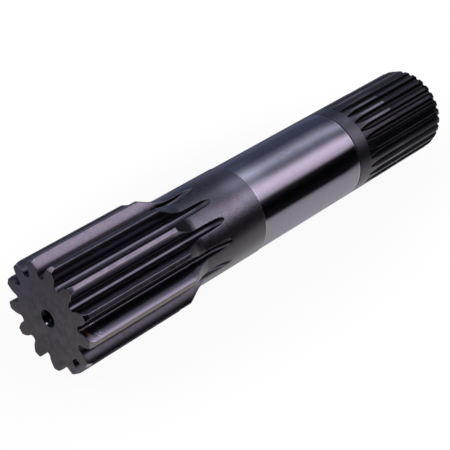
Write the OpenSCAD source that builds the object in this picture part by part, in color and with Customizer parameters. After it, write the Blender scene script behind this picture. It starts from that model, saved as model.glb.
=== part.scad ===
// Sun gear made as one steel shaft: a hobbed pinion, a plain shaft, a ground bearing journal,
// a neck and a splined end. The shaft lies along +X, and the origin is on its axis, in the plane
// of the pinion's end face. +Z is up, with one tooth gap of the pinion straight down, so that
// the gear lies on two pinion teeth and on the splined end.

/* [Pinion] */
// Number of pinion teeth
pinion_teeth = 13; // [11:1:14]
// Module of the pinion teeth
pinion_module = 4; // [3.7:0.1:4.4]
// Pressure angle of the pinion teeth, in degrees
pinion_pressure_angle = 20; // [18:0.5:22]
// Profile shift of the pinion teeth, in modules
pinion_shift = 0.35; // [0.25:0.01:0.45]
// Addendum of the pinion teeth, in modules
pinion_addendum = 0.9; // [0.8:0.01:1]
// Dedendum of the pinion teeth, in modules
pinion_dedendum = 1.25; // [1.1:0.01:1.3]
// Corner radius of the hob's teeth, in modules, which rounds the roots of the gaps
pinion_root_rounding = 0.38; // [0.2:0.01:0.4]
// Length of the teeth at full height, end chamfer included
pinion_length = 70.2; // [40:0.1:110]
// Length of the chamfer on the tooth tips at the end face
pinion_chamfer_length = 1.6; // [0.5:0.1:4]
// Height of the chamfer on the tooth tips at the end face
pinion_chamfer_height = 1; // [0.3:0.1:2.5]
// Slope of the cone that the teeth end in, measured from the shaft's axis, in degrees
shoulder_angle = 26; // [20:1:45]
// Radius of the hollow fillet between that cone and the shaft
shoulder_fillet_radius = 10; // [2:0.5:12]
// How far the gaps keep their full depth past the teeth's full height, before the hob lifts out
pinion_gap_overrun = 16.7; // [12:0.1:24]
// Outside diameter of the hob that cuts the pinion
pinion_hob_d = 90; // [60:1:120]

/* [Shaft] */
// Diameter of the plain shaft next to the pinion
shaft_d = 50.6; // [49:0.1:53]
// Length from the end of the teeth's full height to the journal
shaft_length = 58.1; // [50:0.1:120]
// Diameter of the ground journal that takes the bearing
journal_d = 50; // [46:0.1:50.5]
// Length of the ground journal
journal_length = 78.4; // [20:0.1:150]
// Length of the neck between the journal and the points of the spline's grooves
neck_length = 9.8; // [4:0.1:40]
// Width of the grinding relief turned into the neck at the journal's end
relief_width = 0.8; // [0.5:0.1:3]
// Depth of that relief below the neck's surface
relief_depth = 0.3; // [0.1:0.05:1]

/* [Spline] */
// Number of spline teeth
spline_teeth = 28; // [27:1:29]
// Module of the spline teeth
spline_module = 1.72; // [1.66:0.01:1.75]
// Pressure angle of the spline teeth, in degrees
spline_pressure_angle = 30; // [25:1:32]
// Outside diameter of the spline teeth and of the neck that they are cut in
spline_d = 49.9; // [48.6:0.1:49.9]
// Dedendum of the spline teeth, in modules
spline_dedendum = 0.72; // [0.5:0.01:0.8]
// Corner radius of the spline hob's teeth, in modules
spline_root_rounding = 0.2; // [0.1:0.01:0.25]
// Length of the grooves from their points to the end of the shaft
spline_length = 65.4; // [30:0.1:120]
// Length at the end where the spline teeth are turned down for entry
spline_lead_length = 36.4; // [8:0.1:60]
// How far they are turned down there, on the radius
spline_lead_depth = 0.1; // [0.05:0.05:0.6]
// Length of the chamfer at the splined end
spline_chamfer_length = 3.5; // [0.5:0.1:6]
// Slope of that chamfer, measured from the shaft's axis, in degrees
spline_chamfer_angle = 15; // [10:1:30]
// Outside diameter of the hob that cuts the spline
spline_hob_d = 70; // [40:1:100]
// Turn of the spline against the pinion about the shaft's axis, in degrees
spline_turn = 1.2; // [-6:0.1:6]

/* [Centre holes] */
// Diameter of the pilot drilling in each end face
centre_pilot_d = 4.5; // [3:0.1:8]
// Diameter of the mouth of each centre hole
centre_mouth_d = 9.4; // [8.5:0.1:14]
// Angle of the centre holes' cone, in degrees across
centre_angle = 60; // [50:1:90]
// Length of the straight part of the pilot drilling
centre_pilot_length = 4; // [2:0.5:15]
// Angle of the pilot drill's point, in degrees across
centre_point_angle = 120; // [90:1:140]

/* [Hidden] */
$fn = 112;

steel = "#4d4a52";

// Straight steps in each flank, in each root fillet and in the shoulder's fillet
pinion_flank_steps = 5;
spline_flank_steps = 3;
fillet_steps = 3;
shoulder_fillet_steps = 6;
// How far the cutters reach past the blank's surface
overrun = 2;
// Length of a flank's last step, past the tips of the teeth
flank_overrun = 0.2;

pinion_pitch_r = pinion_module * pinion_teeth / 2;
pinion_tip_r = pinion_pitch_r + (pinion_addendum + pinion_shift) * pinion_module;
pinion_root_r = pinion_pitch_r - (pinion_dedendum - pinion_shift) * pinion_module;
pinion_end_r = pinion_tip_r - pinion_chamfer_height;
pinion_root_length = pinion_length + pinion_gap_overrun;

shaft_r = shaft_d / 2;
journal_r = journal_d / 2;
journal_start = pinion_length + shaft_length;
journal_end = journal_start + journal_length;
spline_start = journal_end + neck_length;
total_length = spline_start + spline_length;
spline_lead_start = total_length - spline_lead_length;

spline_pitch_r = spline_module * spline_teeth / 2;
spline_tip_r = spline_d / 2;
relief_r = spline_tip_r - relief_depth;
spline_lead_r = spline_tip_r - spline_lead_depth;
spline_root_r = spline_pitch_r - spline_dedendum * spline_module;
spline_end_r = spline_lead_r - spline_chamfer_length * tan(spline_chamfer_angle);
// The spline hob's lift starts where its arc just meets the neck's surface at the grooves' points.
spline_root_start = spline_start + lift_length(spline_hob_d / 2, spline_tip_r - spline_root_r);

// The cone and the shaft would meet here if the fillet weren't between them.
shoulder_corner = pinion_length + (pinion_tip_r - shaft_r) / tan(shoulder_angle);
shoulder_end = shoulder_corner + shoulder_fillet_radius * tan(shoulder_angle / 2);

centre_cone_length = (centre_mouth_d - centre_pilot_d) / 2 / tan(centre_angle / 2);
centre_point_length = centre_pilot_d / 2 / tan(centre_point_angle / 2);

// Length along the shaft in which a hob of radius r lifts out of a groove of the given depth
function lift_length(r, depth) = sqrt(r * r - pow(r - depth, 2));

// Involute function, with its angle and its result in degrees
function involute(a) = tan(a) * 180 / PI - a;

// Angle, in degrees, from the middle of a tooth gap to its flank at radius r
function gap_half_angle(r, teeth, pitch_r, pressure_angle, shift) =
    let (base_r = pitch_r * cos(pressure_angle))
    let (tooth = 90 / teeth + 2 * shift * tan(pressure_angle) / teeth * 180 / PI)
    180 / teeth - tooth - involute(pressure_angle) + involute(acos(min(1, base_r / r)));

// Point at radius r, an angle away from +Y
function polar(r, a) = [r * sin(a), r * cos(a)];

// Point of the root fillet that the rounded corner of the hob's rack leaves behind as it rolls
// round the gear. Its centre passes depth below the pitch circle, offset from the rack tooth's
// middle, and a is the angle of the line from the pitch point, from 90 at the root to the
// pressure angle at the flank.
function fillet_point(a, pitch_r, depth, offset, rounding) =
    let (along = depth / tan(a))
    let (reach = norm([along, depth]))
    let (p = [along, pitch_r - depth] + rounding / reach * [along, -depth])
    let (roll = (along - offset) / pitch_r * 180 / PI)
    [p.x * cos(roll) - p.y * sin(roll), p.x * sin(roll) + p.y * cos(roll)];

// Half of a tooth gap's outline from the root outwards, with the gap's middle along +Y
function half_gap(teeth, module_size, pressure_angle, shift, dedendum, rounding, tip_r,
    flank_steps) =
    let (pitch_r = module_size * teeth / 2)
    let (corner = rounding * module_size)
    let (corner_depth = dedendum * module_size - corner)
    let (depth = corner_depth - shift * module_size)
    let (offset = PI * module_size / 4 - corner_depth * tan(pressure_angle)
        - corner / cos(pressure_angle))
    let (fillet = [for (i = [0:fillet_steps])
        fillet_point(90 + (pressure_angle - 90) * i / fillet_steps, pitch_r, depth, offset, corner)])
    let (flank_start = norm(fillet[fillet_steps]))
    let (flank_end = tip_r + flank_overrun)
    let (flank = [for (i = [1:flank_steps])
        let (r = flank_start + (flank_end - flank_start) * i / flank_steps)
        polar(r, gap_half_angle(r, teeth, pitch_r, pressure_angle, shift))])
    let (mouth = flank[flank_steps - 1])
    concat(fillet, flank, [mouth * (tip_r + overrun) / flank_end]);

function mirrored(points) = [for (i = [len(points) - 1:-1:0]) [-points[i].x, points[i].y]];

function gap_outline(half) = concat(half, mirrored(half));

// Cutter for one tooth gap, standing on +Z. The gap runs at full depth from open_end to
// lift_start, where the hob lifts out on an arc of its own radius, towards +X where the open end
// lies below the lift's start and towards -X otherwise. Both lengths share one outline, drawn
// from the hob's axis, and meet in one plane.
module hobbed_gap(outline, root_r, tip_r, open_end, lift_start, hob_r) {
    hob_height = root_r + hob_r;
    sweep = acos(1 - (tip_r + overrun - root_r) / hob_r);
    section = [for (p = outline) [hob_height - p.y, p.x]];
    translate([lift_start, 0, hob_height])
        mirror([lift_start > open_end ? 0 : 1, 0, 0])
            rotate([90, 90, 0]) {
                rotate([90, 0, 0])
                    linear_extrude(abs(lift_start - open_end))
                        polygon(section);
                rotate_extrude(angle = sweep)
                    polygon(section);
            }
}

module pinion_gap() {
    outline = gap_outline(half_gap(pinion_teeth, pinion_module, pinion_pressure_angle,
        pinion_shift, pinion_dedendum, pinion_root_rounding, pinion_tip_r, pinion_flank_steps));
    hobbed_gap(outline, pinion_root_r, pinion_tip_r, -overrun, pinion_root_length,
        pinion_hob_d / 2);
}

// All gaps of the pinion, the first of them straight down
module pinion_gaps() {
    for (i = [0:pinion_teeth - 1])
        rotate([180 + i * 360 / pinion_teeth, 0, 0])
            pinion_gap();
}

module spline_groove() {
    outline = gap_outline(half_gap(spline_teeth, spline_module, spline_pressure_angle,
        0, spline_dedendum, spline_root_rounding, spline_tip_r, spline_flank_steps));
    hobbed_gap(outline, spline_root_r, spline_tip_r, total_length + overrun, spline_root_start,
        spline_hob_d / 2);
}

// All grooves of the spline, with a tooth straight down where the spline isn't turned
module spline_grooves() {
    for (i = [0:spline_teeth - 1])
        rotate([180 + spline_turn + (i + 0.5) * 360 / spline_teeth, 0, 0])
            spline_groove();
}

// Turns a profile, given as points [x, r], about the shaft's axis.
module turned(profile) {
    rotate([90, 0, 90])
        rotate_extrude()
            polygon([for (p = profile) [p[1], p[0]]]);
}

// Points of the fillet between the shoulder's cone and the shaft
function shoulder_fillet() = [for (i = [0:shoulder_fillet_steps])
    let (a = shoulder_angle * (1 - i / shoulder_fillet_steps))
    [shoulder_end - shoulder_fillet_radius * sin(a),
        shaft_r + shoulder_fillet_radius * (1 - cos(a))]];

function pinion_profile() = concat(
    [[0, pinion_end_r], [pinion_chamfer_length, pinion_tip_r], [pinion_length, pinion_tip_r]],
    shoulder_fillet());

function journal_profile() = [[journal_start, shaft_r], [journal_start, journal_r],
    [journal_end, journal_r], [journal_end, relief_r], [journal_end + relief_width, relief_r],
    [journal_end + relief_width, spline_tip_r]];

function spline_profile() = [[spline_lead_start, spline_tip_r], [spline_lead_start, spline_lead_r],
    [total_length - spline_chamfer_length, spline_lead_r], [total_length, spline_end_r]];

// The bar as turned and ground, before its teeth are cut
module blank() {
    turned(concat([[0, 0]], pinion_profile(), journal_profile(), spline_profile(),
        [[total_length, 0]]));
}

// Centre hole, drilled from the plane at X = 0 towards +X
module centre_hole() {
    pilot_end = centre_cone_length + centre_pilot_length;
    turned([[-overrun, 0], [-overrun, centre_mouth_d / 2], [0, centre_mouth_d / 2],
        [centre_cone_length, centre_pilot_d / 2], [pilot_end, centre_pilot_d / 2],
        [pilot_end + centre_point_length, 0]]);
}

module centre_holes() {
    centre_hole();
    translate([total_length, 0, 0])
        mirror([1, 0, 0])
            centre_hole();
}

module sun_gear() {
    color(steel)
        difference() {
            blank();
            pinion_gaps();
            spline_grooves();
            centre_holes();
        }
}

sun_gear();
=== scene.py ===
# Sun gear shaft of hardened steel, lying on a pale floor. The shaft lies along +X from the
# pinion's end face, and the sizes are in millimetres until a point is placed in the scene.
import math

import bmesh
import bpy
from mathutils import Matrix, Vector


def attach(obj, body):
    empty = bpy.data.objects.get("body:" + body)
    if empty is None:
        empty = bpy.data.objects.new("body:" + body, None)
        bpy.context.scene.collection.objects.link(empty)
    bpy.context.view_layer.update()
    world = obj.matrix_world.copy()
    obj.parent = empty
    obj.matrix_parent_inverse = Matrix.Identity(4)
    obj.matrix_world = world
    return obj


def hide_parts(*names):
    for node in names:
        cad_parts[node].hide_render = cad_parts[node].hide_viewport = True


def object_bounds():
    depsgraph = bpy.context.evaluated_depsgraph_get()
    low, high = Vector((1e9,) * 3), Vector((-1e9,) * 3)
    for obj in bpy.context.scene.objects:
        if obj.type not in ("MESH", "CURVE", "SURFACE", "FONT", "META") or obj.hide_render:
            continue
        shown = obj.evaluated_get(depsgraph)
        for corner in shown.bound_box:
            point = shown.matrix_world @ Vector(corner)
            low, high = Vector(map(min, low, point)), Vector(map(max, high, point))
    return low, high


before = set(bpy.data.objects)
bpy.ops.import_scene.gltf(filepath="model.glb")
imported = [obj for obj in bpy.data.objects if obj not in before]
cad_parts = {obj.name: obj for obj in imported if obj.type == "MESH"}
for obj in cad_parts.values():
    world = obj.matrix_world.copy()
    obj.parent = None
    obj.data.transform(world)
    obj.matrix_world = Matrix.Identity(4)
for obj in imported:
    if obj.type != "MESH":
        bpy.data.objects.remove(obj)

cad_low, cad_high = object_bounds()

MM = 0.001

# The bar as turned and ground
TOTAL_LENGTH = cad_high.x / MM
PINION_LENGTH = 70.2
END_CHAMFER_LENGTH = 2.8
END_CHAMFER_HEIGHT = 0.85
SHOULDER_ANGLE = math.radians(26)
SHOULDER_FILLET = 30.0
SHOULDER_CREASE = math.radians(10)
SHAFT_R = 25.3
SHAFT_LENGTH = 58.1
JOURNAL_R = 25.0
JOURNAL_LENGTH = 78.4
RELIEF_WIDTH = 0.8
RELIEF_DEPTH = 0.3
NECK_LENGTH = 9.8
SPLINE_R = 24.95
LEAD_LENGTH = 36.4
LEAD_DEPTH = 0.1
SPLINE_CHAMFER_LENGTH = 3.5
SPLINE_CHAMFER_ANGLE = math.radians(15)
CENTRE_PILOT_R = 2.25
CENTRE_MOUTH_R = 4.7
CENTRE_HALF_ANGLE = math.radians(30)
CENTRE_PILOT_LENGTH = 4.0
CENTRE_POINT_HALF_ANGLE = math.radians(60)

JOURNAL_START = PINION_LENGTH + SHAFT_LENGTH
JOURNAL_END = JOURNAL_START + JOURNAL_LENGTH
RELIEF_END = JOURNAL_END + RELIEF_WIDTH
SPLINE_START = JOURNAL_END + NECK_LENGTH
LEAD_START = TOTAL_LENGTH - LEAD_LENGTH

# How far the pinion's gaps run on at full depth past the teeth, and the angle from straight down
# to the nearest land of the spline
PINION_GAP_OVERRUN = 16.7
SPLINE_TURN = math.radians(1.2)

# How far the journal's finish runs on past its end, down the wall of the relief
JOURNAL_FINISH_OVERRUN = 0.1

# Small roundings of the edges. None takes more than a share of the wall or land beside it, and a
# turned corner's rounding takes no more than another share of the lines that meet there. Smaller
# turns than SMOOTH_TURN stay as they are, and the mesh is shaded sharp from SHARP_ANGLE on.
PINION_EDGE = 0.16
SPLINE_EDGE = 0.10
FACE_EDGE = 0.3
TIP_EDGE = 0.3
JOURNAL_EDGE = 0.35
TURNED_EDGE = 0.12
MOUTH_EDGE = 0.15
EDGE_SHARE = 0.35
CORNER_SHARE = 0.4
SMOOTH_TURN = math.radians(6)
SHARP_ANGLE = math.radians(35)

# How finely the skin is divided, and where the rings of the straight teeth stand. Rings crowd
# towards the point of a run-out by a power of their count, with one ring just before the point
# and two past it. CLOSE is a distance too small to matter.
EDGE_STEPS = 4
FACE_EDGE_STEPS = 4
FILLET_STEPS = 12
FLANK_STEPS = 24
RUN_OUT_STEPS = 18
SHOULDER_STEPS = 8
JOURNAL_STEPS = 6
PINION_RINGS = range(10, 70, 10)
SPLINE_RINGS = (232, 254, 262, 270)
PINION_CROWDING = 1.6
SPLINE_CROWDING = 1.4
BEFORE_POINT = 0.05
PAST_POINT = (0.12, 0.5)
CLOSE = 0.01


def involute(angle):
    return math.tan(angle) - angle


def polar(radius, angle):
    """Point at an angle from +y towards +x."""
    return Vector((radius * math.sin(angle), radius * math.cos(angle)))


class Teeth:
    """A ring of teeth cut by a hob, with the form of one gap as the hob's rack rolls it."""

    def __init__(self, count, module, pressure_angle, shift, dedendum, rounding, hob_r, tip_r):
        self.count = count
        self.pitch = math.tau / count
        self.pressure_angle = pressure_angle
        self.shift = shift
        self.pitch_r = module * count / 2
        self.root_r = self.pitch_r - (dedendum - shift) * module
        self.hob_r = hob_r
        self.tip_r = tip_r
        self.corner = rounding * module
        self.corner_depth = dedendum * module - self.corner
        self.depth = self.corner_depth - shift * module
        self.offset = (math.pi * module / 4 - self.corner_depth * math.tan(pressure_angle)
                       - self.corner / math.cos(pressure_angle))
        self.half_gap = self.make_half_gap()

    def flank_angle(self, radius):
        """Angle from the middle of a gap to its flank."""
        base_r = self.pitch_r * math.cos(self.pressure_angle)
        tooth = (math.pi / 2 + 2 * self.shift * math.tan(self.pressure_angle)) / self.count
        rise = involute(math.acos(min(1.0, base_r / radius))) - involute(self.pressure_angle)
        return math.pi / self.count - tooth + rise

    def fillet_point(self, angle):
        """Point of the root fillet that the rounded corner of the rack's tooth leaves."""
        along = self.depth / math.tan(angle)
        reach = math.hypot(along, self.depth)
        p = Vector((along, self.pitch_r - self.depth))
        p += Vector((along, -self.depth)) * (self.corner / reach)
        return Matrix.Rotation((along - self.offset) / self.pitch_r, 2) @ p

    def make_half_gap(self):
        """Half of the gap's outline from the root's middle outwards, with the gap along +y."""
        swing = math.pi / 2 - self.pressure_angle
        fillet = [self.fillet_point(math.pi / 2 - swing * i / FILLET_STEPS)
                  for i in range(FILLET_STEPS + 1)]
        low = fillet[-1].length
        past_tip = self.tip_r + 0.5
        flank = []
        for i in range(1, FLANK_STEPS + 1):
            radius = low + (past_tip - low) * i / FLANK_STEPS
            flank.append(polar(radius, self.flank_angle(radius)))
        return [Vector((0, self.root_r))] + fillet + flank

    def lift(self, distance):
        """How far the hob has risen at a distance past the start of its run-out."""
        if distance <= 0:
            return 0.0
        return self.hob_r - math.sqrt(self.hob_r ** 2 - distance ** 2)

    def lift_length(self, depth):
        """Distance in which the hob rises by a depth."""
        return math.sqrt(self.hob_r ** 2 - (self.hob_r - depth) ** 2)


def clipped(path, radius):
    """The start of a path, up to where it crosses a circle round the origin."""
    kept = [path[0]]
    for a, b in zip(path, path[1:]):
        if b.length >= radius:
            share = (radius - a.length) / (b.length - a.length)
            kept.append(a.lerp(b, share))
            return kept
        kept.append(b)
    return kept


def path_length(path):
    return sum((b - a).length for a, b in zip(path, path[1:]))


def resampled(path, steps, end):
    """Evenly spaced points along a path, from its start to a length from there."""
    points = [path[0]]
    walked = 0.0
    for a, b in zip(path, path[1:]):
        span = (b - a).length
        while len(points) <= steps and end * len(points) / steps <= walked + span + 1e-9:
            points.append(a.lerp(b, min(1.0, (end * len(points) / steps - walked) / span)))
        walked += span
    return points


def inset(points, distance):
    """Moves half a pitch of a section into the steel, along its own normals."""
    ends = [Vector((-points[1].x, points[1].y))] + points
    turn = Matrix.Rotation(-2 * math.atan2(points[-1].x, points[-1].y), 2)
    ends.append(turn @ Vector((-points[-2].x, points[-2].y)))
    moved = []
    for before, here, after in zip(ends, points, ends[2:]):
        along = (after - before).normalized()
        moved.append(here + Vector((along.y, -along.x)) * distance)
    return moved


class Section:
    """Counts of steps across half a pitch: the gap's wall, the rounded edge and the land."""

    def __init__(self, teeth, wall_steps, land_steps, edge):
        self.teeth = teeth
        self.edge = edge
        self.wall_steps = wall_steps
        self.land_steps = land_steps

    def half_pitch(self, radius, lift, face_inset):
        """Points from the middle of a gap to the middle of a land. A gap that the hob has left
        altogether has all its points in one place."""
        half = self.teeth.pitch / 2
        if self.teeth.root_r + lift >= radius:
            gap = [polar(radius, 0)] * (self.wall_steps + EDGE_STEPS + 1)
            start = 0.0
        else:
            wall = clipped([p + Vector((0, lift)) for p in self.teeth.half_gap], radius)
            corner = wall[-1]
            mouth = math.atan2(corner.x, corner.y)
            length = path_length(wall)
            cut = min(self.edge, EDGE_SHARE * length, EDGE_SHARE * radius * (half - mouth))
            wall = resampled(wall, self.wall_steps, length - cut)
            start = mouth + cut / radius
            after = polar(radius, start)
            edge = []
            for i in range(1, EDGE_STEPS + 1):
                t = i / EDGE_STEPS
                edge.append(wall[-1].lerp(corner, t).lerp(corner.lerp(after, t), t))
            gap = wall + edge
        land = [polar(radius, start + (half - start) * i / self.land_steps)
                for i in range(1, self.land_steps + 1)]
        points = gap + land
        return inset(points, face_inset) if face_inset else points

    def zones(self):
        """What each step of a whole ring belongs to, in the ring's order."""
        half = (["wall"] * self.wall_steps + ["edge"] * EDGE_STEPS + ["land"] * self.land_steps)
        return (half[::-1] + half) * self.teeth.count


class Skin:
    """The steel's surface as rings of vertices joined along the shaft."""

    def __init__(self):
        self.mesh = bmesh.new()
        self.wear = self.mesh.verts.layers.float.new("edge_wear")

    def ring(self, x, half, count, first_angle, wear):
        """A ring made from half a pitch of a section, mirrored and repeated round the axis."""
        verts = []
        signed = [(-1, i) for i in range(len(half) - 2, 0, -1)] + [(1, i) for i in range(len(half))]
        for tooth in range(count):
            angle = first_angle + tooth * math.tau / count
            c, s = math.cos(angle), math.sin(angle)
            previous = None
            for side, i in signed:
                across, up = side * half[i].x, half[i].y
                place = Vector((x, up * c - across * s, up * s + across * c)) * MM
                if previous is None or (place - previous.co).length > 1e-8:
                    previous = self.mesh.verts.new(place)
                    previous[self.wear] = wear[i]
                verts.append(previous)
        return verts

    def circle(self, x, radius, count, first_angle):
        """A plain ring with its points evenly spaced."""
        return [self.mesh.verts.new(Vector((x, radius * math.cos(a), radius * math.sin(a))) * MM)
                for a in (first_angle + math.tau * i / count for i in range(count))]

    def face(self, corners, slot, smooth=True):
        kept = [v for i, v in enumerate(corners) if v is not corners[i - 1]]
        if len(set(kept)) < 3:
            return
        made = self.mesh.faces.new(kept)
        made.material_index = slot
        made.smooth = smooth

    def join(self, a, b, slots, smooth=True):
        """Faces between two rings of as many points. slots is one slot, or one for each step."""
        count = len(a)
        for i in range(count):
            j = (i + 1) % count
            slot = slots if isinstance(slots, int) else slots[i]
            self.face([a[i], a[j], b[j], b[i]], slot, smooth)

    def zip(self, a, b, slot):
        """Faces between two rings of different counts, which both start near one angle."""
        i = j = 0
        while i < len(a) or j < len(b):
            if j >= len(b) or (i < len(a) and (i + 1) / len(a) <= (j + 1) / len(b)):
                self.face([a[i % len(a)], a[(i + 1) % len(a)], b[j % len(b)]], slot, False)
                i += 1
            else:
                self.face([a[i % len(a)], b[(j + 1) % len(b)], b[j % len(b)]], slot, False)
                j += 1


def once(ring):
    """A ring without the repeated points of gaps that have closed."""
    return [v for i, v in enumerate(ring) if v is not ring[i - 1]]


def eased(profile, cut, steps=3):
    """A profile of points (x, r) with its corners rounded."""
    points = [profile[0]]
    for a, b, c in zip(profile, profile[1:], profile[2:]):
        turn = (b - a).angle(c - b)
        if turn < SMOOTH_TURN:
            points.append(b)
            continue
        reach = min(cut, CORNER_SHARE * (b - a).length, CORNER_SHARE * (c - b).length)
        start = b + (a - b).normalized() * reach
        end = b + (c - b).normalized() * reach
        points += [start.lerp(b, i / steps).lerp(b.lerp(end, i / steps), i / steps)
                   for i in range(steps + 1)]
    return points + [profile[-1]]


def with_stations(profile, stations):
    """Adds points to a profile at the given places along it."""
    points = [profile[0]]
    for a, b in zip(profile, profile[1:]):
        for x in sorted(stations):
            if a.x + 2 * CLOSE < x < b.x - 2 * CLOSE:
                points.append(a.lerp(b, (x - a.x) / (b.x - a.x)))
        points.append(b)
    return points


pinion_teeth = Teeth(count=13, module=4.0, pressure_angle=math.radians(20), shift=0.35,
                     dedendum=1.25, rounding=0.38, hob_r=45.0, tip_r=31.0)
spline_teeth = Teeth(count=28, module=1.72, pressure_angle=math.radians(30), shift=0.0,
                     dedendum=0.72, rounding=0.2, hob_r=35.0, tip_r=SPLINE_R)
pinion_section = Section(pinion_teeth, wall_steps=16, land_steps=5, edge=PINION_EDGE)
spline_section = Section(spline_teeth, wall_steps=9, land_steps=3, edge=SPLINE_EDGE)

PINION_TIP_R = pinion_teeth.tip_r
PINION_ROOT_END = PINION_LENGTH + PINION_GAP_OVERRUN
SPLINE_ROOT_START = SPLINE_START + spline_teeth.lift_length(SPLINE_R - spline_teeth.root_r)
SPLINE_LAND_DEGREES = -90 + math.degrees(SPLINE_TURN)
SPLINE_END_R = SPLINE_R - LEAD_DEPTH - SPLINE_CHAMFER_LENGTH * math.tan(SPLINE_CHAMFER_ANGLE)


def shoulder_profile():
    """The fillet between the cone behind the teeth and the shaft, which it meets in a faint
    crease."""
    low = SHOULDER_FILLET * (math.cos(SHOULDER_CREASE) - math.cos(SHOULDER_ANGLE))
    start = PINION_LENGTH + (PINION_TIP_R - SHAFT_R - low) / math.tan(SHOULDER_ANGLE)
    middle = start + SHOULDER_FILLET * math.sin(SHOULDER_ANGLE)
    points = []
    for i in range(SHOULDER_STEPS + 1):
        a = SHOULDER_ANGLE + (SHOULDER_CREASE - SHOULDER_ANGLE) * i / SHOULDER_STEPS
        points.append(Vector((middle - SHOULDER_FILLET * math.sin(a),
                              SHAFT_R + SHOULDER_FILLET * (math.cos(SHOULDER_CREASE) - math.cos(a)))))
    return points


def edge_wear(section):
    """How worn each point of half a pitch is: most in the middle of the rounded edge."""
    worn = [0.0] * section.wall_steps
    worn += [0.5 + 0.5 * math.sin(math.pi * i / EDGE_STEPS) for i in range(EDGE_STEPS + 1)]
    return worn + [0.0] * section.land_steps


def face_edge_stations():
    """Distance from an end face, and the section's inset there, round the face's edge."""
    turns = [math.pi / 2 * i / FACE_EDGE_STEPS for i in range(FACE_EDGE_STEPS + 1)]
    return [(FACE_EDGE * (1 - math.cos(t)), FACE_EDGE * (1 - math.sin(t))) for t in turns]


def end_face(skin, x, inwards, ring, root_r):
    """The flat end of a toothed stretch, with its centre hole."""
    def circle(distance, radius):
        at = x + inwards * distance
        made = []
        for v in ring:
            flat = Vector((v.co.y, v.co.z)).normalized() * radius
            made.append(skin.mesh.verts.new(Vector((at, flat.x, flat.y)) * MM))
        return made

    cone_depth = (CENTRE_MOUTH_R - CENTRE_PILOT_R) / math.tan(CENTRE_HALF_ANGLE)
    pilot_depth = cone_depth + CENTRE_PILOT_LENGTH
    point_depth = pilot_depth + CENTRE_PILOT_R / math.tan(CENTRE_POINT_HALF_ANGLE)
    outer = ring
    for radius in (root_r - 1.5, 0.5 * root_r, CENTRE_MOUTH_R + MOUTH_EDGE):
        inner = circle(0, radius)
        skin.join(outer, inner, SLOT["face"], smooth=False)
        outer = inner
    for distance, radius in ((MOUTH_EDGE, CENTRE_MOUTH_R - MOUTH_EDGE / 3),
                             (cone_depth, CENTRE_PILOT_R), (pilot_depth, CENTRE_PILOT_R)):
        inner = circle(distance, radius)
        skin.join(outer, inner, SLOT["centre"])
        outer = inner
    tip = skin.mesh.verts.new(((x + inwards * point_depth) * MM, 0, 0))
    skin.join(outer, [tip] * len(outer), SLOT["centre"])


def build_pinion(skin):
    """The pinion from its end face to the journal. Returns the last ring."""
    wear = edge_wear(pinion_section)
    depth = SHAFT_R - pinion_teeth.root_r
    run_out = pinion_teeth.lift_length(depth)
    run_out_end = PINION_ROOT_END + run_out
    stations = [run_out_end - run_out * (i / RUN_OUT_STEPS) ** PINION_CROWDING
                for i in range(1, RUN_OUT_STEPS + 1)]
    stations += [run_out_end - BEFORE_POINT, run_out_end] + [run_out_end + d for d in PAST_POINT]
    stations += [x for x, _ in face_edge_stations()]
    stations += PINION_RINGS
    profile = [Vector((0, PINION_TIP_R - END_CHAMFER_HEIGHT)),
               Vector((END_CHAMFER_LENGTH, PINION_TIP_R)), Vector((PINION_LENGTH, PINION_TIP_R))]
    profile += shoulder_profile() + [Vector((JOURNAL_START, SHAFT_R)), Vector((JOURNAL_START, JOURNAL_R))]
    profile = with_stations(eased(profile, TIP_EDGE), stations)
    insets = dict(face_edge_stations())
    zones = pinion_section.zones()
    first = -math.pi / 2
    previous = None
    for x, radius in profile:
        if x > run_out_end + CLOSE:
            break
        face_inset = next((d for at, d in insets.items() if abs(at - x) < 1e-6), 0.0)
        lift = pinion_teeth.lift(x - PINION_ROOT_END)
        half = pinion_section.half_pitch(radius, lift, face_inset)
        ring = skin.ring(x, half, pinion_teeth.count, first, wear)
        if previous is None:
            end_face(skin, 0.0, 1, ring, pinion_teeth.root_r)
        else:
            outer = SLOT["land"] if x < PINION_LENGTH + TIP_EDGE else SLOT["skin"]
            slots = [SLOT["flank"] if z == "wall" else outer for z in zones]
            skin.join(previous, ring, slots)
        previous = ring
    previous = once(previous)
    count = len(previous)
    start = first - pinion_teeth.pitch / 2 + pinion_teeth.pitch / (2 * pinion_section.land_steps)
    for x, radius in profile:
        if x > run_out_end + CLOSE:
            ring = skin.circle(x, radius, count, start)
            skin.join(previous, ring, SLOT["skin"])
            previous = ring
    return previous


def build_journal(skin, previous):
    """The ground journal and the grinding relief past it, whose far wall is left open."""
    count = len(previous)
    start = math.atan2(previous[0].co.z, previous[0].co.y)
    relief_r = SPLINE_R - RELIEF_DEPTH
    profile = eased([Vector((JOURNAL_START, JOURNAL_R)), Vector((JOURNAL_END, JOURNAL_R)),
                     Vector((JOURNAL_END, relief_r)), Vector((RELIEF_END, relief_r))], JOURNAL_EDGE)
    stations = [JOURNAL_START + JOURNAL_LENGTH * i / JOURNAL_STEPS for i in range(1, JOURNAL_STEPS)]
    profile = with_stations(profile, stations)
    for x, radius in profile[1:]:
        ring = skin.circle(x, radius, count, start)
        slot = SLOT["journal"] if x < JOURNAL_END + JOURNAL_FINISH_OVERRUN else SLOT["neck"]
        skin.join(previous, ring, slot)
        previous = ring
    return previous


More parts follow.
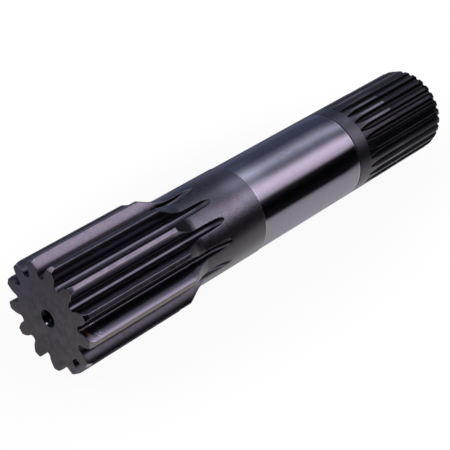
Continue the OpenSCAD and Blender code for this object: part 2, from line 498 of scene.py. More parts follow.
def build_spline(skin, previous):
    """The neck and the spline, from the grinding relief to the end face."""
    depth = SPLINE_R - spline_teeth.root_r
    run_out = SPLINE_ROOT_START - SPLINE_START
    first = -math.pi / 2 + SPLINE_TURN + spline_teeth.pitch / 2
    stations = [SPLINE_START + BEFORE_POINT]
    stations += [SPLINE_START + run_out * (i / RUN_OUT_STEPS) ** SPLINE_CROWDING
                 for i in range(1, RUN_OUT_STEPS + 1)]
    stations += [TOTAL_LENGTH - x for x, _ in face_edge_stations()]
    stations += SPLINE_RINGS
    profile = [Vector((SPLINE_START, SPLINE_R)), Vector((LEAD_START, SPLINE_R)),
               Vector((LEAD_START, SPLINE_R - LEAD_DEPTH)),
               Vector((TOTAL_LENGTH - SPLINE_CHAMFER_LENGTH, SPLINE_R - LEAD_DEPTH)),
               Vector((TOTAL_LENGTH, SPLINE_END_R))]
    profile = with_stations(eased(profile, TURNED_EDGE), stations)
    wear = edge_wear(spline_section)
    insets = [(TOTAL_LENGTH - x, d) for x, d in face_edge_stations()]
    zones = spline_section.zones()
    rings = []
    for x, radius in profile:
        face_inset = next((d for at, d in insets if abs(at - x) < 1e-6), 0.0)
        lift = spline_teeth.lift(SPLINE_ROOT_START - x)
        if x <= SPLINE_START:
            lift = depth + CLOSE
        half = spline_section.half_pitch(radius, lift, face_inset)
        rings.append((x, skin.ring(x, half, spline_teeth.count, first, wear)))
    closed = once(rings[0][1])
    count = len(closed)
    start = math.atan2(closed[0].co.z, closed[0].co.y)
    neck = skin.circle(RELIEF_END, SPLINE_R - TURNED_EDGE, count, start)
    nearest = min(range(len(previous)), key=lambda i: (previous[i].co - neck[0].co).length)
    skin.zip(previous[nearest:] + previous[:nearest], neck, SLOT["neck"])
    for x in [RELIEF_END + TURNED_EDGE] + [SPLINE_START - d for d in reversed(PAST_POINT)]:
        ring = skin.circle(x, SPLINE_R, count, start)
        skin.join(neck, ring, SLOT["neck"])
        neck = ring
    skin.join(neck, closed, SLOT["neck"])
    for (_, a), (x, b) in zip(rings, rings[1:]):
        outer = SLOT["spline_land"] if x < LEAD_START + CLOSE else SLOT["spline_lead"]
        slots = [SLOT["spline_wall"] if z == "wall" else outer for z in zones]
        skin.join(a, b, slots)
    end_face(skin, TOTAL_LENGTH, -1, rings[-1][1], spline_teeth.root_r)


class Value:
    """An output of a node. Arithmetic on it adds Math nodes."""

    def __init__(self, tree, socket):
        self.tree = tree
        self.socket = socket

    def output(self, name):
        """Another output of the same node."""
        return Value(self.tree, self.socket.node.outputs[name])

    def math(self, operation, *inputs):
        return make(self.tree, "ShaderNodeMath", {"operation": operation}, dict(enumerate(inputs)))

    def __add__(self, other):
        return self.math("ADD", self, other)

    def __radd__(self, other):
        return self.math("ADD", other, self)

    def __sub__(self, other):
        return self.math("SUBTRACT", self, other)

    def __rsub__(self, other):
        return self.math("SUBTRACT", other, self)

    def __mul__(self, other):
        return self.math("MULTIPLY", self, other)

    def __rmul__(self, other):
        return self.math("MULTIPLY", other, self)

    def __truediv__(self, other):
        return self.math("DIVIDE", self, other)

    def __pow__(self, other):
        return self.math("POWER", self, other)

    def __abs__(self):
        return self.math("ABSOLUTE", self)

    def rescaled(self, low, high, new_low, new_high):
        """Moves smoothly from new_low to new_high while this goes from low to high."""
        return make(self.tree, "ShaderNodeMapRange", {"interpolation_type": "SMOOTHSTEP"},
                    {"Value": self, "From Min": low, "From Max": high, "To Min": new_low,
                     "To Max": new_high})

    def above(self, low, high):
        """0 below low and 1 above high."""
        return self.rescaled(low, high, 0.0, 1.0)

    def within(self, low, high, soft):
        """1 between low and high, and 0 farther outside them than a soft border."""
        return self.above(low - soft, low) * (1 - self.above(high, high + soft))


def put(place, value):
    """Sets a socket, or links it to a value."""
    if isinstance(value, Value):
        value.tree.links.new(value.socket, place)
    else:
        place.default_value = value


def make(tree, kind, settings=None, inputs=None, output=0):
    """Adds a node: its settings or its ramp's stops first, then its sockets. Returns an output."""
    node = tree.nodes.new(kind)
    for name, value in (settings or {}).items():
        if name == "stops":
            elements = node.color_ramp.elements
            while len(elements) < len(value):
                elements.new(0.5)
            for element, (position, colour) in zip(elements, value):
                element.position = position
                element.color = colour
        elif name == "interpolation":
            node.color_ramp.interpolation = value
        else:
            setattr(node, name, value)
    for name, value in (inputs or {}).items():
        put(node.inputs[name], value)
    return Value(tree, node.outputs[output])


def noise(tree, place, scale, detail=4.0, roughness=0.55):
    return make(tree, "ShaderNodeTexNoise", {"noise_dimensions": "3D"},
                {"Vector": place, "Scale": scale, "Detail": detail, "Roughness": roughness})


def joined(tree, x, y, z):
    return make(tree, "ShaderNodeCombineXYZ", {}, {"X": x, "Y": y, "Z": z})


def opaque(colour):
    """The four numbers of a colour given as three, or the value that stands for it."""
    return colour if isinstance(colour, Value) else (*colour, 1.0)


def blend(tree, factor, a, b):
    """A colour between a and b, by the colour sockets of a Mix node."""
    A, B, RESULT = 6, 7, 2
    return make(tree, "ShaderNodeMix", {"data_type": "RGBA"},
                {0: factor, A: opaque(a), B: opaque(b)}, RESULT)


class Steel:
    """A steel finish that varies over the surface by its place on the shaft. Lengths are in
    millimetres, and degrees run round the shaft from +Y over the top."""

    def __init__(self, name):
        self.material = bpy.data.materials.new(name)
        self.material.use_nodes = True
        self.tree = self.material.node_tree
        self.shader = self.tree.nodes["Principled BSDF"]
        self.shader.inputs["Metallic"].default_value = 1.0
        place = make(self.tree, "ShaderNodeTexCoord", output="Object")
        self.place = make(self.tree, "ShaderNodeVectorMath", {"operation": "SCALE"},
                          {0: place, "Scale": 1 / MM})
        self.x = make(self.tree, "ShaderNodeSeparateXYZ", {}, {0: self.place})
        self.y = self.x.output("Y")
        self.z = self.x.output("Z")
        self.radius = (self.y * self.y + self.z * self.z) ** 0.5
        self.angle = self.x.math("ARCTAN2", self.z, self.y)
        self.degrees = self.x.math("FLOORED_MODULO", self.angle * math.degrees(1), 360.0)
        self.colour = None

    def noise(self, scale, detail=4.0, roughness=0.55):
        """Noise with features of about 1 / scale mm."""
        return noise(self.tree, self.place, scale, detail, roughness)

    def rings(self, distance, detail=2.0):
        """Noise that changes with a distance alone."""
        return noise(self.tree, joined(self.tree, distance, 0.0, 0.0), 1.0, detail)

    def round_streaks(self, along_scale, arc_scale, detail=3.0):
        """Streaks that run round the shaft, finer along it than round it."""
        c = self.x.math("COSINE", self.angle)
        s = self.x.math("SINE", self.angle)
        place = joined(self.tree, self.x * along_scale, c * arc_scale, s * arc_scale)
        return noise(self.tree, place, 1.0, detail)

    def long_streaks(self, along_scale, cross_scale, detail=3.0):
        """Streaks that run along the shaft."""
        place = joined(self.tree, self.x * along_scale, self.y * cross_scale, self.z * cross_scale)
        return noise(self.tree, place, 1.0, detail)

    def edge_wear(self):
        """How worn the mesh's edges are."""
        return make(self.tree, "ShaderNodeAttribute", {"attribute_name": "edge_wear"}, output="Fac")

    def beside(self, tooth, start, end, soft):
        """1 between two angles from the middle of a tooth, in degrees."""
        return self.degrees.within(tooth + start, tooth + end, soft)

    def reach(self, degrees):
        """Distance from the axis in one direction across the shaft."""
        angle = math.radians(degrees)
        return self.y * math.cos(angle) + self.z * math.sin(angle)

    def spot(self, x, degrees, size):
        """1 at a place on the skin, fading out at a size from it."""
        across = (self.degrees - degrees) * (math.radians(1) * JOURNAL_R)
        return 1 - (((self.x - x) ** 2 + across ** 2) ** 0.5).above(0.3 * size, size)

    def base(self, share, dark, light):
        """Starts the colour, between two."""
        self.colour = blend(self.tree, share, dark, light)

    def coat(self, share, colour):
        """Lays a colour over what is there, by its share from 0 to 1."""
        self.colour = blend(self.tree, share, self.colour, colour)

    def oxide(self, metallic, gloss):
        """How metallic the surface is, and how much its layer of oxide reflects where it isn't."""
        put(self.shader.inputs["Metallic"], metallic)
        self.shader.inputs["Specular IOR Level"].default_value = gloss

    def finish(self, roughness, height, depth):
        """Links the colour, the roughness and a height of a depth, and returns the material."""
        bump = make(self.tree, "ShaderNodeBump", {}, {"Strength": 1.0, "Distance": depth * MM,
                                                      "Height": height})
        put(self.shader.inputs["Base Color"], self.colour)
        put(self.shader.inputs["Roughness"], roughness)
        put(self.shader.inputs["Normal"], bump)
        return self.material


# Degrees of the pinion teeth that the photograph shows, from the back over the top to the front
TEETH_SEEN = [90 + 360 / pinion_teeth.count * i for i in range(-1, 5)]
BACK_TOOTH, TOP_TOOTH, HIGH_TOOTH, MIDDLE_TOOTH, FRONT_TOOTH, LOW_TOOTH = TEETH_SEEN


def face_finish():
    """Sawn and faced end: dull dark grey with faint turning rings and a brownish rim, with painted light
    that makes it paler towards the back and top."""
    steel = Steel("faced_end")
    mottle = steel.noise(0.22, 6.0, 0.62)
    steel.base(mottle.above(0.34, 0.66), (0.101, 0.091, 0.103), (0.160, 0.141, 0.154))
    rim = steel.radius.above(10, 28) * steel.noise(0.3, 4.0).above(0.32, 0.6)
    steel.coat(0.75 * rim, (0.140, 0.117, 0.100))
    # Painted light: the face is paler towards the back and top.
    steel.coat(steel.reach(30).above(6, 30), (0.205, 0.185, 0.205))
    specks = steel.noise(1.1, 3.0).above(0.66, 0.74)
    steel.coat(0.4 * specks, (0.20, 0.14, 0.12))
    return steel.finish(0.5 + 0.12 * mottle, steel.rings(steel.radius * 2.2) + 0.6 * steel.noise(3.0), 0.012)


def flank_finish():
    """Hobbed flanks and roots under a dark oxide, with fine lines along the teeth. The back tooth's flank is
    rubbed bright, and the front tooth's has rust and light specks at its end. Painted shade darkens the gaps
    deep down, where they run out and next to the end face, and painted light lies on a few flanks."""
    steel = Steel("hobbed_flank")
    lines = steel.long_streaks(0.05, 4.0)
    mottle = steel.noise(0.18, 5.0)
    steel.base(mottle.above(0.3, 0.72), (0.088, 0.083, 0.100), (0.114, 0.106, 0.128))
    # Painted shade deep in the gaps, at the foot of the flanks.
    shaded_foot = steel.radius.within(23.5, 25.5, 0.8)
    steel.coat(0.65 * shaded_foot, (0.034, 0.032, 0.038))
    # Painted shade in the gaps where they run on past the teeth.
    run_out = steel.x.above(71, 82)
    steel.coat(0.45 * run_out, (0.026, 0.024, 0.029))
    # Painted light on the front tooth's upper flank: a highlight near its tip and shade lower down.
    steel.coat(steel.beside(FRONT_TOOTH, -3.3, -1.1, 1.2), (0.165, 0.152, 0.178))
    steel.coat(steel.beside(FRONT_TOOTH, -9.6, -5.6, 1.5), (0.078, 0.074, 0.088))
    rubbed = steel.beside(BACK_TOOTH, -0.3, 15.7, 2.0)
    rubbed = rubbed * (1 - steel.x.above(PINION_LENGTH + 2, PINION_LENGTH + 6))
    patches = steel.noise(0.5, 6.0, 0.72).above(0.40, 0.62)
    steel.coat(rubbed, blend(steel.tree, patches, (0.116, 0.111, 0.138), (0.150, 0.131, 0.148)))
    brown = rubbed * steel.noise(0.7, 5.0, 0.7).above(0.50, 0.64)
    steel.coat(0.4 * brown, (0.150, 0.113, 0.108))
    # Painted shade on the high tooth's forward flank.
    steel.coat(0.7 * steel.beside(HIGH_TOOTH, 7.8, 12.8, 1.2), (0.022, 0.021, 0.025))
    # Painted shade on the root of the gap in front of the middle tooth.
    root = steel.beside(MIDDLE_TOOTH, 7.6, 18.6, 2.0) * (1 - steel.radius.above(22.9, 23.6))
    steel.coat(0.6 * root, (0.010, 0.009, 0.011))
    # Painted shade deep in the gaps behind the top tooth, next to the end face.
    mouth = (1 - steel.degrees.above(TOP_TOOTH - 12, TOP_TOOTH - 10)) * (1 - steel.x.above(4, 9))
    steel.coat(0.85 * mouth * (1 - steel.radius.above(24.3, 25.6)), (0.012, 0.011, 0.014))
    under = steel.beside(LOW_TOOTH, -17.3, 0.2, 2.5)
    steel.coat(under, (0.084, 0.079, 0.094))
    steel.coat(0.75 * under * steel.radius.above(28.4, 30.0), (0.020, 0.019, 0.023))
    stained = under * steel.noise(0.35, 5.0, 0.7).above(0.48, 0.60)
    steel.coat(0.6 * stained, (0.078, 0.055, 0.052))
    rust = steel.spot(2.6, FRONT_TOOTH - 8.3, 1.5) * steel.noise(1.6, 4.0).above(0.36, 0.52)
    steel.coat(0.9 * rust, (0.190, 0.104, 0.046))
    pink = steel.spot(2.6, FRONT_TOOTH - 4.7, 1.8) * steel.noise(2.0, 4.0).above(0.42, 0.58)
    steel.coat(0.7 * pink, (0.260, 0.190, 0.200))
    # Painted shade deep in the gap below the front tooth, next to the end face.
    shaded_wedge = steel.beside(LOW_TOOTH, -22.8, -13.3, 1.0) * (1 - steel.x.above(5, 11))
    steel.coat(0.8 * shaded_wedge * (1 - steel.radius.above(24.5, 27.0)), (0.008, 0.008, 0.009))
    specks = steel.spot(7.5, FRONT_TOOTH - 8.1, 3.2) * steel.noise(1.6, 3.0).above(0.55, 0.63)
    steel.coat(0.85 * specks, (0.50, 0.46, 0.50))
    worn = rubbed * (1 - steel.radius.above(24.5, 26.8))
    dull = 0.08 * under + 0.32 * worn + 0.2 * rust
    return steel.finish(0.18 + 0.08 * mottle + 0.05 * lines + dull, lines + 0.8 * steel.noise(1.2), 0.006)


def land_finish():
    """Turned tips of the pinion's teeth: satin, mottled, scratched and a little worn, with painted shade on
    the top land and on the lands from the low tooth round the bottom, and painted highlights on some chamfer
    facets.
    """
    steel = Steel("tooth_land")
    mottle = steel.noise(0.3, 6.0, 0.65)
    streaks = steel.round_streaks(3.0, 20.0)
    steel.base(mottle.above(0.38, 0.62), (0.130, 0.119, 0.145), (0.192, 0.173, 0.202))
    brown = steel.noise(0.8, 6.0, 0.72).above(0.50, 0.64)
    steel.coat(0.45 * brown, (0.160, 0.120, 0.112))
    facet = 1 - steel.x.above(END_CHAMFER_LENGTH - 0.6, END_CHAMFER_LENGTH + 0.2)
    # Painted shade on the top tooth's land, past its chamfer.
    shaded_top_land = steel.beside(TOP_TOOTH, -7, 7, 2.0) * steel.x.above(2.4, 3.4)
    steel.coat(shaded_top_land, (0.092, 0.087, 0.104))
    olive = steel.beside(FRONT_TOOTH, -5.1, 6.9, 2.0)
    steel.coat(0.6 * olive, (0.19, 0.165, 0.135))
    # Painted shade under the pinion: the lands from just above the low tooth round the bottom are dark, and
    # less metallic so that they stay dark, while the chamfer facets keep their metal.
    low = steel.degrees.above(LOW_TOOTH - 16.8, LOW_TOOTH - 8.8)
    steel.coat(low, (0.028, 0.026, 0.031))
    steel.oxide(1 - 0.92 * low * (1 - facet), 0.0)
    scratch = steel.long_streaks(0.035, 5.5, 2.0).above(0.62, 0.67)
    steel.coat(0.7 * scratch, (0.40, 0.37, 0.42))
    steel.coat(steel.edge_wear() * steel.noise(0.6, 4.0).above(0.3, 0.6), (0.20, 0.18, 0.21))
    # Painted highlights on the chamfer facets of the top tooth and of the teeth from the low tooth round the
    # bottom.
    steel.coat(facet * steel.beside(TOP_TOOTH, -10, 8, 3.0), (0.180, 0.148, 0.153))
    steel.coat(facet * steel.degrees.above(LOW_TOOTH - 10.8, LOW_TOOTH - 4.8), (0.240, 0.200, 0.205))
    return steel.finish(0.24 + 0.12 * mottle - 0.13 * facet, streaks + 1.4 * steel.noise(2.0), 0.009)


def skin_finish():
    """Turned shaft and cone under the dark oxide, finely speckled, with painted shade in front and below,
    between the run-outs and on the cone, and a painted highlight beside the journal.
    """
    steel = Steel("turned_skin")
    mottle = steel.noise(0.12, 6.0, 0.6)
    streaks = steel.round_streaks(5.0, 12.0)
    steel.base(mottle.above(0.35, 0.65), (0.110, 0.102, 0.122), (0.145, 0.133, 0.155))
    light_specks = steel.noise(1.5, 4.0, 0.7).above(0.50, 0.62)
    steel.coat(0.7 * light_specks, (0.205, 0.185, 0.205))
    dark_specks = steel.noise(0.9, 4.0, 0.7).above(0.52, 0.64)
    steel.coat(0.7 * dark_specks, (0.078, 0.072, 0.096))
    # Painted shade from the front round under the shaft, a little weaker lower down.
    front = steel.degrees.above(150, 162) * steel.degrees.rescaled(162, 216, 1.0, 0.8)
    steel.coat(front, (0.068, 0.063, 0.066))
    # Painted shade on top of the shaft between the pinion's run-outs.
    shade_between_run_outs = steel.degrees.within(92, 122, 6) * steel.x.within(86, 110, 6)
    steel.coat(0.45 * shade_between_run_outs, (0.080, 0.074, 0.088))
    # Painted highlight on top of the shaft beside the journal.
    highlight_beside_journal = steel.spot(JOURNAL_START - 2.3, 103, 14)
    steel.coat(0.7 * highlight_beside_journal, (0.200, 0.186, 0.216))
    # Painted shade on the upper front of the cone behind the teeth.
    cone = steel.radius.above(SHAFT_R + 0.2, SHAFT_R + 0.9) * steel.degrees.within(99, 167, 3)
    steel.coat(0.65 * cone, (0.030, 0.028, 0.033))
    return steel.finish(0.22 + 0.08 * mottle + 0.05 * streaks, streaks + 1.5 * steel.noise(1.8), 0.009)


def journal_finish():
    """Ground journal: bright, with fine lines round it, painted highlights at its ends and on top near its
    start, and a few handling marks.
    """
    steel = Steel("ground_journal")
    steel.shader.inputs["Specular Tint"].default_value = opaque((0.75, 0.75, 0.79))
    lines = steel.round_streaks(7.0, 6.0, 4.0)
    mottle = steel.noise(0.15, 5.0)
    steel.base(lines.above(0.3, 0.7), (0.228, 0.210, 0.242), (0.254, 0.234, 0.268))
    pink = steel.noise(0.45, 5.0, 0.7).above(0.50, 0.62) * steel.noise(0.09, 2.0).above(0.40, 0.55)
    steel.coat(0.35 * pink, (0.23, 0.175, 0.185))
    clouds = steel.degrees.within(84, 113, 6) * steel.noise(0.10, 3.0).above(0.47, 0.58)
    specks = clouds * steel.long_streaks(0.30, 1.6, 5.0).above(0.50, 0.60)
    steel.coat(0.4 * specks, (0.12, 0.12, 0.17))
    scratch = steel.long_streaks(0.04, 5.0, 2.0).above(0.62, 0.70) * steel.degrees.within(70, 118, 4)
    steel.coat(0.3 * scratch, (0.12, 0.12, 0.17))
    # Painted highlights round both ends of the journal.
    from_middle = abs(steel.x - (JOURNAL_START + JOURNAL_END) / 2)
    steel.coat(from_middle.above(JOURNAL_LENGTH / 2 - 1.3, JOURNAL_LENGTH / 2), (0.36, 0.34, 0.38))
    # Painted highlight on top of the journal near its start.
    highlight_near_start = steel.degrees.within(80, 112, 8) * (1 - steel.x.above(132, 150))
    steel.coat(0.6 * highlight_near_start, (0.42, 0.40, 0.45))
    return steel.finish(0.085 + 0.02 * mottle + 0.03 * lines + 0.05 * specks, lines, 0.002)


def neck_finish():
    """Turned neck and grinding relief: darker and duller than the journal, with painted shade from just past
    the top onwards, deepest in front.
    """
    steel = Steel("turned_neck")
    streaks = steel.round_streaks(5.0, 10.0)
    mottle = steel.noise(0.2, 5.0)
    steel.base(mottle.above(0.3, 0.7), (0.086, 0.081, 0.096), (0.110, 0.102, 0.120))
    # Painted shade from just past the top onwards, deeper from the front on.
    steel.coat(steel.degrees.above(100, 115), (0.080, 0.074, 0.086))
    steel.coat(steel.degrees.above(140, 165), (0.060, 0.055, 0.061))
    return steel.finish(0.32 + 0.06 * streaks, streaks, 0.005)


def spline_land_finish():
    """Outside of the spline next to the neck, with painted shade over its top front and the lands rubbed
    bright along their middles, painted as a highlight only on the upper lands."""
    steel = Steel("spline_land")
    lines = steel.round_streaks(6.0, 8.0)
    pitches = (steel.degrees - SPLINE_LAND_DEGREES) / (360 / spline_teeth.count)
    from_middle = steel.x.math("PINGPONG", pitches, 0.5)
    # Painted shade over the top front of the spline, lighter again in front and below.
    steel.base(steel.degrees.above(108, 122), (0.068, 0.063, 0.074), (0.040, 0.037, 0.043))
    steel.coat(steel.degrees.above(150, 165), (0.064, 0.059, 0.066))
    # The lands' middles are rubbed bright, painted as a highlight only on the upper side.
    rubbed = steel.degrees.within(88, 108, 20) * steel.x.above(SPLINE_START + 1, SPLINE_START + 15)
    steel.coat(rubbed * (1 - from_middle.above(0.09, 0.16)), (0.20, 0.184, 0.212))
    # Less metallic from the front round the bottom, so that the dark colour shows there as painted shade.
    steel.oxide(steel.degrees.rescaled(182, 197, 1.0, 0.14), 0.04)
    return steel.finish(0.22 + 0.06 * lines, lines, 0.005)


def spline_lead_finish():
    """Lead-in of the spline, turned down and dark, with painted shade over its top front and towards the
    bottom.
    """
    steel = Steel("spline_lead")
    lines = steel.round_streaks(5.0, 9.0)
    mottle = steel.noise(0.2, 5.0)
    steel.base(mottle.above(0.3, 0.7), (0.038, 0.036, 0.043), (0.052, 0.049, 0.058))
    # Painted shade over the top front of the lead-in.
    steel.coat(0.7 * steel.degrees.within(103, 134, 5), (0.014, 0.013, 0.016))
    # Less metallic from the front round the bottom, so that the dark colour shows there as painted shade.
    steel.oxide(steel.degrees.rescaled(182, 197, 1.0, 0.14), 0.04)
    return steel.finish(0.24 + 0.06 * lines, lines, 0.005)


def spline_wall_finish():
    """Walls of the spline's grooves, dark under the oxide, with painted shade from the front round the
    bottom.
    """
    steel = Steel("spline_groove")
    lines = steel.long_streaks(0.05, 5.0)
    steel.base(lines.above(0.3, 0.7), (0.016, 0.0155, 0.017), (0.025, 0.024, 0.026))
    # Painted shade on the walls from the front round the bottom: darker and less metallic there.
    steel.coat(steel.degrees.above(170, 184), (0.011, 0.0105, 0.012))
    steel.oxide(steel.degrees.rescaled(170, 184, 0.7, 0.1), 0.05)
    steel.shader.inputs["Specular Tint"].default_value = opaque((0.4, 0.4, 0.4))
    return steel.finish(0.22 + 0.06 * lines, lines, 0.005)


def centre_finish():
    """Drilled centre hole: dark and oily, with fine turned rings and two painted highlights low in its cone."""
    steel = Steel("centre_hole")
    rings = steel.rings(steel.x * 6.0)
    steel.base(rings.above(0.45, 0.7), (0.005, 0.005, 0.006), (0.020, 0.019, 0.021))
    # Painted highlights low in the cone: one near its mouth and a fainter one deeper in.
    painted_glint = steel.degrees.within(282, 290, 5) * steel.x.within(0.2, 0.7, 0.25)
    second_painted_glint = steel.degrees.within(282, 290, 6) * steel.x.within(2.6, 3.4, 0.4)
    steel.coat(painted_glint + 0.2 * second_painted_glint, (0.60, 0.57, 0.62))
    return steel.finish(0.16 + 0.1 * rings, rings, 0.01)


FINISHES = {"face": face_finish, "flank": flank_finish, "land": land_finish, "skin": skin_finish,
            "journal": journal_finish, "neck": neck_finish, "spline_land": spline_land_finish,
            "spline_lead": spline_lead_finish, "spline_wall": spline_wall_finish,
            "centre": centre_finish}
SLOT = {name: i for i, name in enumerate(FINISHES)}


def build_gear():
    """The whole gear as one closed mesh, which rides on the part's one body."""
    skin = Skin()
    build_spline(skin, build_journal(skin, build_pinion(skin)))
    bmesh.ops.remove_doubles(skin.mesh, verts=skin.mesh.verts, dist=1e-7)
    bmesh.ops.recalc_face_normals(skin.mesh, faces=skin.mesh.faces)
    mesh = bpy.data.meshes.new("sun_gear_finished")
    skin.mesh.to_mesh(mesh)
    skin.mesh.free()
    mesh.set_sharp_from_angle(angle=SHARP_ANGLE)
    for finish in FINISHES.values():
        mesh.materials.append(finish())
    gear = bpy.data.objects.new("sun_gear_finished", mesh)
    bpy.context.scene.collection.objects.link(gear)
    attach(gear, "root")
    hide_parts("sun_gear")


# The photograph's view: where the camera looks, from which side, how far it is rolled, its
# distance in metres, and its lens and sensor in millimetres
AIM = Vector((120.150, -3.540, -2.795)) * MM
AZIMUTH = math.radians(-50.5565)
ELEVATION = math.radians(38.7648)
ROLL = math.radians(6.7298)
DISTANCE = 0.7498
LENS = 113.12
SENSOR = 36.0


def place_camera():
    data = bpy.data.cameras.new("camera")
    data.lens = LENS
    data.sensor_width = SENSOR
    data.clip_start = 0.01
    data.clip_end = 50.0
    camera = bpy.data.objects.new("camera", data)
    back = Vector((math.sin(AZIMUTH) * math.cos(ELEVATION), -math.cos(AZIMUTH) * math.cos(ELEVATION),
                   math.sin(ELEVATION)))
    camera.location = AIM + back * DISTANCE
    level = (-back).to_track_quat("-Z", "Y").to_matrix()
    camera.rotation_euler = (level @ Matrix.Rotation(ROLL, 3, "Z")).to_euler()
    bpy.context.scene.collection.objects.link(camera)
    bpy.context.scene.camera = camera


# The studio's light by its angle round the shaft's axis, from the horizon behind the shaft over
# the top to the horizon in front of it: degrees, strength and tint. RIGHT is mirrored in the
# journal and the spline, MIDDLE in the pinion, LEFT in the chamfers and edges at its near end, and
# ACROSS, a strip nearly square to the shaft, in the chamfers at the sides of that end.
COOL = (0.93, 1.0, 1.22)
PALE = (1.0, 0.95, 1.10)
ROOM = (0.85, 1.0, 1.45)
UNLIT = (0.02, 0.021, 0.024)
LIGHT_RIGHT = [
    (0, 0.21, ROOM), (30, 0.18, ROOM), (40, 0.22, ROOM), (55, 0.62, COOL), (67, 1.18, COOL),
    (76, 1.06, COOL), (85, 0.60, COOL), (95, 0.53, COOL), (103, 1.18, PALE), (112, 2.08, PALE),
    (120, 2.2, PALE), (128, 1.88, PALE), (138, 1.18, PALE), (143, 0.38, PALE), (146, 0.05, PALE),
    (150, 0.008, PALE), (173, 0.006, PALE), (180, 0.012, PALE),
]
LIGHT_MIDDLE = [
    (0, 0.12, ROOM), (40, 0.10, ROOM), (52, 0.17, COOL), (70, 0.25, COOL), (80, 0.42, COOL),
    (90, 0.95, COOL), (100, 2.0, PALE), (108, 2.5, PALE), (118, 2.4, PALE), (135, 2.0, PALE),
    (147, 1.4, PALE), (153, 0.22, PALE), (158, 0.02, PALE), (173, 0.010, PALE), (180, 0.02, PALE),
]
LIGHT_LEFT = [
    (0, 0.2, ROOM), (40, 0.5, COOL), (59, 1.0, COOL), (75, 0.8, COOL), (98, 0.30, COOL),
    (130, 0.15, PALE), (150, 0.02, PALE), (180, 0.03, PALE),
]
LIGHT_ACROSS = [
    (0, 0.25, ROOM), (35, 0.80, COOL), (60, 1.9, COOL), (90, 2.2, PALE), (120, 1.8, PALE),
    (145, 0.3, PALE), (180, 0.03, PALE),
]


def light_round(tree, turn, light, full_strength):
    """A ramp of light round the shaft, as shares of a strength that no light reaches."""
    stops = [(degrees / 180, opaque(strength / full_strength * c for c in tint))
             for degrees, strength, tint in light]
    return make(tree, "ShaderNodeValToRGB", {"interpolation": "CARDINAL", "stops": stops}, {0: turn})


def light_world():
    """Two long softboxes over the shaft, a black flag in front of it and a dim room behind."""
    world = bpy.data.worlds.new("studio")
    world.use_nodes = True
    bpy.context.scene.world = world
    tree = world.node_tree
    direction = make(tree, "ShaderNodeTexCoord", output="Generated")
    x = make(tree, "ShaderNodeSeparateXYZ", {}, {0: direction})
    y, z = x.output("Y"), x.output("Z")
    turn = x.math("ARCTAN2", z.math("MAXIMUM", z, 0.0), y) / math.pi
    full_strength = 1.5 * max(strength for _, strength, _ in LIGHT_RIGHT)
    right, middle, left, across = (light_round(tree, turn, light, full_strength)
                                   for light in (LIGHT_RIGHT, LIGHT_MIDDLE, LIGHT_LEFT, LIGHT_ACROSS))
    # Here x is how far a direction leans along the shaft, towards the spline.
    light = blend(tree, x.above(0.55, 0.62), middle, right)
    light = blend(tree, x.above(0.2, 0.48), left, light)
    light = blend(tree, x.within(0.06, 0.19, 0.05), light, across)
    light = blend(tree, abs(x).above(0.79, 0.9), light, UNLIT)
    background = tree.nodes["Background"]
    put(background.inputs["Color"], light)
    background.inputs["Strength"].default_value = full_strength


# The floor: half its side in metres, how pale it is, and the share of the paper's own glow in what
# the camera sees of it near the shaft and in what reflections show
FLOOR_HALF = 25.0
PALE_FLOOR = 0.95
SHARE_SEEN_BY_CAMERA = 0.94
SHARE_IN_REFLECTIONS = 0.7


def painted_paper_light(x, y):
    """Painted light and shade on the paper, as reflections show it, at a place in metres along and across
    the shaft: white just in front of it, dark far in front and to the right in front, and dim behind."""
    bright = y.rescaled(-0.20, -0.079, 0.040, 1.0) * y.rescaled(-0.025, 0.075, 1.0, 0.13)
    bright = bright + y.rescaled(0.09, 0.18, 0.0, 0.12)
    return bright * (1 - 0.75 * x.above(0.15, 0.29) * y.rescaled(-0.03, 0.0, 1.0, 0.0))


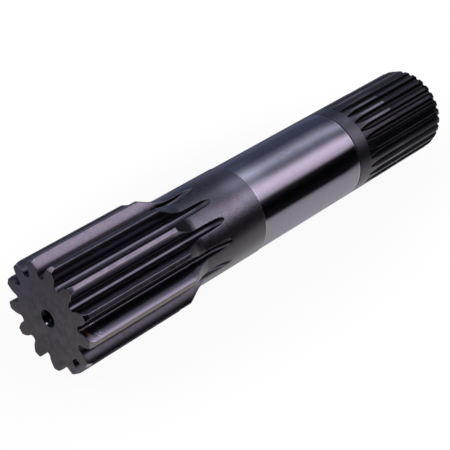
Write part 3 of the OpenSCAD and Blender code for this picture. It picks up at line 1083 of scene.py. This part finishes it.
def paper_material():
    """Paper that is white to the camera, with a faint shadow near the shaft, and in reflections as bright as
    painted_paper_light says, with a painted shadow just under the shaft and painted light beside it."""
    material = bpy.data.materials.new("floor")
    material.use_nodes = True
    tree = material.node_tree
    paper = tree.nodes["Principled BSDF"]
    paper.inputs["Roughness"].default_value = 1.0
    paper.inputs["Specular IOR Level"].default_value = 0.0
    place = make(tree, "ShaderNodeTexCoord", output="Object")
    x = make(tree, "ShaderNodeSeparateXYZ", {}, {0: place})
    y = x.output("Y")
    bright = painted_paper_light(x, y)
    # Behind the shaft the paper is painted a cool blue, as the room's light.
    white = blend(tree, y.above(0.0, 0.06), (PALE_FLOOR, PALE_FLOOR, PALE_FLOOR), (0.68, 0.72, 1.0))
    put(paper.inputs["Base Color"], blend(tree, bright, (0, 0, 0), white))
    camera = make(tree, "ShaderNodeLightPath", output="Is Camera Ray")
    reflected = camera.output("Is Glossy Ray") + camera.output("Is Transmission Ray")
    # In reflections the paper's glow behind the shaft is painted a cool blue too.
    tint = blend(tree, reflected * y.above(0.05, 0.12), (1, 1, 1), (0.9, 0.94, 1.3))
    glow = make(tree, "ShaderNodeEmission", {}, {"Color": tint, "Strength": 1.0})
    # An oval near the shaft where the camera sees a little of the real shadow, and the strips under and
    # beside it, with a painted shadow under it and painted light beside it in reflections
    near = 1 - ((((x - 0.07) / 0.24) ** 2 + (y / 0.10) ** 2) ** 0.5).above(0.45, 1.0)
    shaded = abs(y).rescaled(0.0125, 0.030, 0.38, 1.0) * abs(y).rescaled(0.045, 0.090, 1.33, 1.0)
    share = (camera * (1 - near * (1 - SHARE_SEEN_BY_CAMERA))
             + reflected * bright * shaded * SHARE_IN_REFLECTIONS)
    mix = make(tree, "ShaderNodeMixShader", {}, {0: share, 2: glow})
    tree.links.new(paper.outputs[0], mix.socket.node.inputs[1])
    put(tree.nodes["Material Output"].inputs["Surface"], mix)
    return material


def lay_floor():
    """A pale floor that touches the lowest pinion teeth and the splined end."""
    pinion_low = PINION_TIP_R * math.cos(pinion_teeth.flank_angle(PINION_TIP_R))
    spline_low = SPLINE_R - LEAD_DEPTH
    spline_at = TOTAL_LENGTH - SPLINE_CHAMFER_LENGTH
    slope = math.atan2(pinion_low - spline_low, spline_at - PINION_LENGTH)
    mesh = bpy.data.meshes.new("floor")
    corners = [Vector((sx, sy, 0)) * FLOOR_HALF for sx, sy in ((-1, -1), (1, -1), (1, 1), (-1, 1))]
    mesh.from_pydata(corners, [], [(0, 1, 2, 3)])
    mesh.materials.append(paper_material())
    floor = bpy.data.objects.new("floor", mesh)
    floor.location = Vector((PINION_LENGTH, 0, -pinion_low)) * MM
    floor.rotation_euler = (0, -slope, 0)
    bpy.context.scene.collection.objects.link(floor)


place_camera()
build_gear()
light_world()
lay_floor()

bpy.context.scene.view_settings.view_transform = "Standard"
